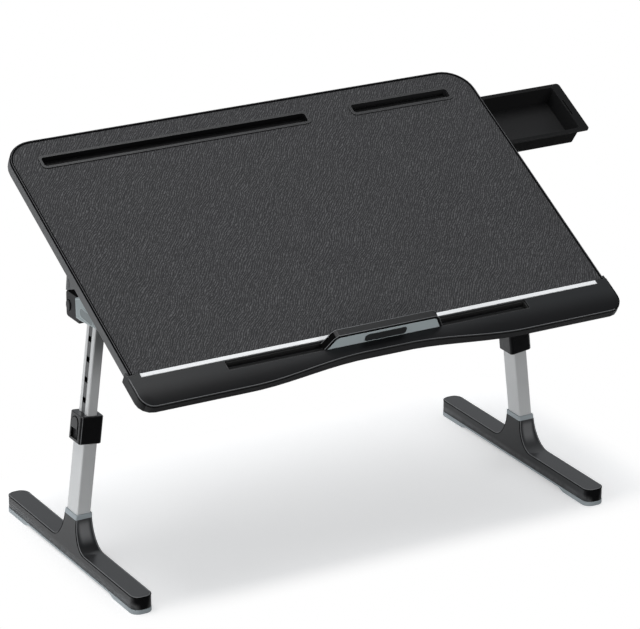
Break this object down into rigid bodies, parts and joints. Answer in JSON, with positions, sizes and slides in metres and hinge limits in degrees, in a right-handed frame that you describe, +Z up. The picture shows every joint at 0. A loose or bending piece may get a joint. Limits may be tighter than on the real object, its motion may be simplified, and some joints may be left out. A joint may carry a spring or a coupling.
{
  "type": "laptop stand with drawer",
  "caption": "folding lap desk for a laptop: tilting leather-topped board with wrist rest, sliding stopper, device slots and side drawer, on telescopic folding legs",
  "frame": {"origin": "on the floor under the middle of the whole part with its drawer open", "axes": "+X to the user's right, where the drawer opens; +Y away from the user; +Z up"},
  "size_m": [0.7858, 0.3828, 0.4746],
  "materials": {
    "board": "bare fibreboard",
    "leather": "grained, satin",
    "grey_shell": "satin",
    "black_shell": "satin",
    "soft_black": "matt",
    "blue_grey": "satin",
    "white_trim": "satin",
    "aluminium": "satin anodised",
    "steel": "turned"
  },
  "bodies": {
    "deck": {"core_board": "board", "leather_top": "leather", "edge_band": "grey_shell", "edge_lip": "soft_black", "wrist_rest": "black_shell", "trim_strip": "white_trim", "stopper_track": "soft_black", "tablet_slot": "soft_black", "phone_slot": "soft_black", "drawer_rail_front": "grey_shell", "drawer_rail_back": "grey_shell", "drawer_stop": "grey_shell", "left_hinge_bracket": "black_shell", "left_fold_pin": "steel", "left_side_cheek": "grey_shell", "left_lever_pin": "steel", "right_hinge_bracket": "black_shell", "right_fold_pin": "steel", "right_side_cheek": "grey_shell", "right_lever_pin": "steel"},
    "drawer": {"drawer_tray": "black_shell"},
    "stopper": {"stopper_body": "soft_black", "stopper_face": "blue_grey", "stopper_pad": "soft_black"},
    "left_cradle": {"left_fold_cradle": "black_shell"},
    "left_head": {"left_head_block": "black_shell", "left_tilt_pin": "steel", "left_inner_tube": "aluminium", "left_height_rack": "soft_black"},
    "left_foot": {"left_outer_tube": "aluminium", "left_height_collar": "black_shell", "left_base_ferrule": "blue_grey", "left_foot_bar": "black_shell", "left_foot_sole": "blue_grey"},
    "left_tilt_lever": {"left_tilt_lever": "blue_grey"},
    "left_fold_button": {"left_fold_button": "soft_black"},
    "left_height_button": {"left_height_button": "black_shell"},
    "right_cradle": {"right_fold_cradle": "black_shell"},
    "right_head": {"right_head_block": "black_shell", "right_tilt_pin": "steel", "right_inner_tube": "aluminium", "right_height_rack": "soft_black"},
    "right_foot": {"right_outer_tube": "aluminium", "right_height_collar": "black_shell", "right_base_ferrule": "blue_grey", "right_foot_bar": "black_shell", "right_foot_sole": "blue_grey"},
    "right_tilt_lever": {"right_tilt_lever": "blue_grey"},
    "right_fold_button": {"right_fold_button": "soft_black"},
    "right_height_button": {"right_height_button": "black_shell"}
  },
  "joints": [
    {"name": "drawer_slide", "type": "slide", "parent": "deck", "child": "drawer", "axis": [1, 0, 0], "range_m": [-0.129, 0.03]},
    {"name": "stopper_slide", "type": "slide", "parent": "deck", "child": "stopper", "axis": [1, 0, 0], "range_m": [-0.125, 0.122]},
    {"name": "left_fold", "type": "hinge", "parent": "deck", "child": "left_cradle", "pos_m": [-0.32457, -0.00091, 0.35153], "axis": [0, -0.8838, -0.4679], "range_deg": [0, 97]},
    {"name": "left_tilt", "type": "hinge", "parent": "left_cradle", "child": "left_head", "pos_m": [-0.34532, 0.01102, 0.329], "axis": [1, 0, 0], "range_deg": [-8.1, 27.9]},
    {"name": "left_height", "type": "slide", "parent": "left_head", "child": "left_foot", "axis": [0.1181, 0, 0.993], "range_m": [0, 0.102]},
    {"name": "left_lever_lift", "type": "hinge", "parent": "deck", "child": "left_tilt_lever", "pos_m": [-0.37557, -0.05194, 0.32395], "axis": [1, 0, 0], "range_deg": [0, 5], "stiffness_Nm_per_rad": 2, "springref_deg": -5.16},
    {"name": "left_fold_press", "type": "slide", "parent": "left_head", "child": "left_fold_button", "axis": [1, 0, 0], "range_m": [0, 0.002], "stiffness_N_per_m": 1500, "springref_m": -0.002},
    {"name": "left_height_press", "type": "slide", "parent": "left_foot", "child": "left_height_button", "axis": [0.993, 0, -0.1181], "range_m": [0, 0.0012], "stiffness_N_per_m": 2500, "springref_m": -0.0012},
    {"name": "right_fold", "type": "hinge", "parent": "deck", "child": "right_cradle", "pos_m": [0.19943, -0.00091, 0.35153], "axis": [0, 0.8838, 0.4679], "range_deg": [0, 97]},
    {"name": "right_tilt", "type": "hinge", "parent": "right_cradle", "child": "right_head", "pos_m": [0.22018, 0.01102, 0.329], "axis": [1, 0, 0], "range_deg": [-8.1, 27.9]},
    {"name": "right_height", "type": "slide", "parent": "right_head", "child": "right_foot", "axis": [-0.1181, 0, 0.993], "range_m": [0, 0.102]},
    {"name": "right_lever_lift", "type": "hinge", "parent": "deck", "child": "right_tilt_lever", "pos_m": [0.25043, -0.05194, 0.32395], "axis": [1, 0, 0], "range_deg": [0, 5], "stiffness_Nm_per_rad": 2, "springref_deg": -5.16},
    {"name": "right_fold_press", "type": "slide", "parent": "right_head", "child": "right_fold_button", "axis": [-1, 0, 0], "range_m": [0, 0.002], "stiffness_N_per_m": 1500, "springref_m": -0.002},
    {"name": "right_height_press", "type": "slide", "parent": "right_foot", "child": "right_height_button", "axis": [-0.993, 0, -0.1181], "range_m": [0, 0.0012], "stiffness_N_per_m": 2500, "springref_m": -0.0012}
  ],
  "couplings": [
    {"joint": "right_tilt", "follows": "left_tilt", "ratio": 1}
  ]
}
